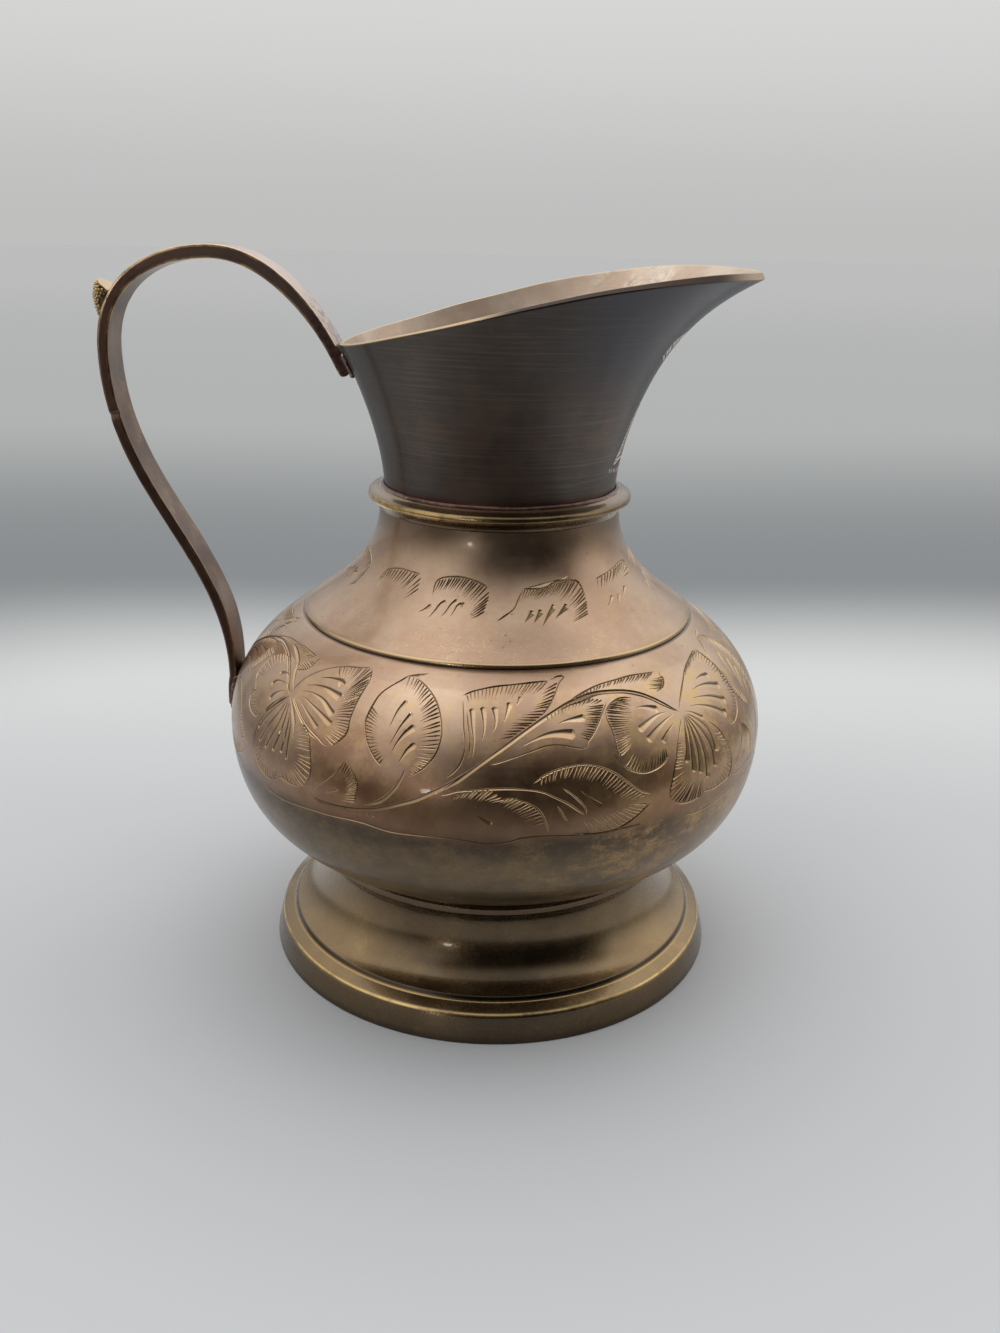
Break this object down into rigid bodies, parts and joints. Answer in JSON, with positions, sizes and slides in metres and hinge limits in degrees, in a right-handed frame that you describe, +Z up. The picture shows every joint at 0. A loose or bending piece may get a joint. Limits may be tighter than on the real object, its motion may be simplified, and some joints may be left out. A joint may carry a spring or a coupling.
{
  "type": "pitcher",
  "caption": "Engraved brass pitcher with a turned foot, round two-part belly, collar ring, slant-cut flared neck drawn into a pouring lip, and a tall strap handle with a thumb stop.",
  "frame": {"origin": "on the table, under the middle of the pitcher's outline; the turned axis of foot, belly and collar stands at x = +0.0165 m", "axes": "+Z up, the pouring lip points along +X and the handle along -X, +Y across the body"},
  "size_m": [0.1854, 0.1526, 0.1983],
  "materials": {
    "foot_brass": "turned, half worn, dark olive patina",
    "body_brass": "satin, coppery brown patina, engraved",
    "neck_brass": "satin, dark grey-brown patina, faint turning lines",
    "strap_brass": "flat strip, purple-brown patina, bright worn edges",
    "cast_brass": "rough, pebbled",
    "braze": "pale silvery pink brazing metal"
  },
  "bodies": {
    "root": {"foot": "foot_brass", "bowl": "body_brass", "shoulder": "body_brass", "collar_ring": "foot_brass", "neck_and_lip": "neck_brass", "handle_strap": "strap_brass", "thumb_stop": "cast_brass", "foot_braze": "braze", "body_braze": "braze", "collar_braze": "braze", "handle_lower_braze": "braze", "handle_upper_braze": "braze"}
  },
  "joints": []
}
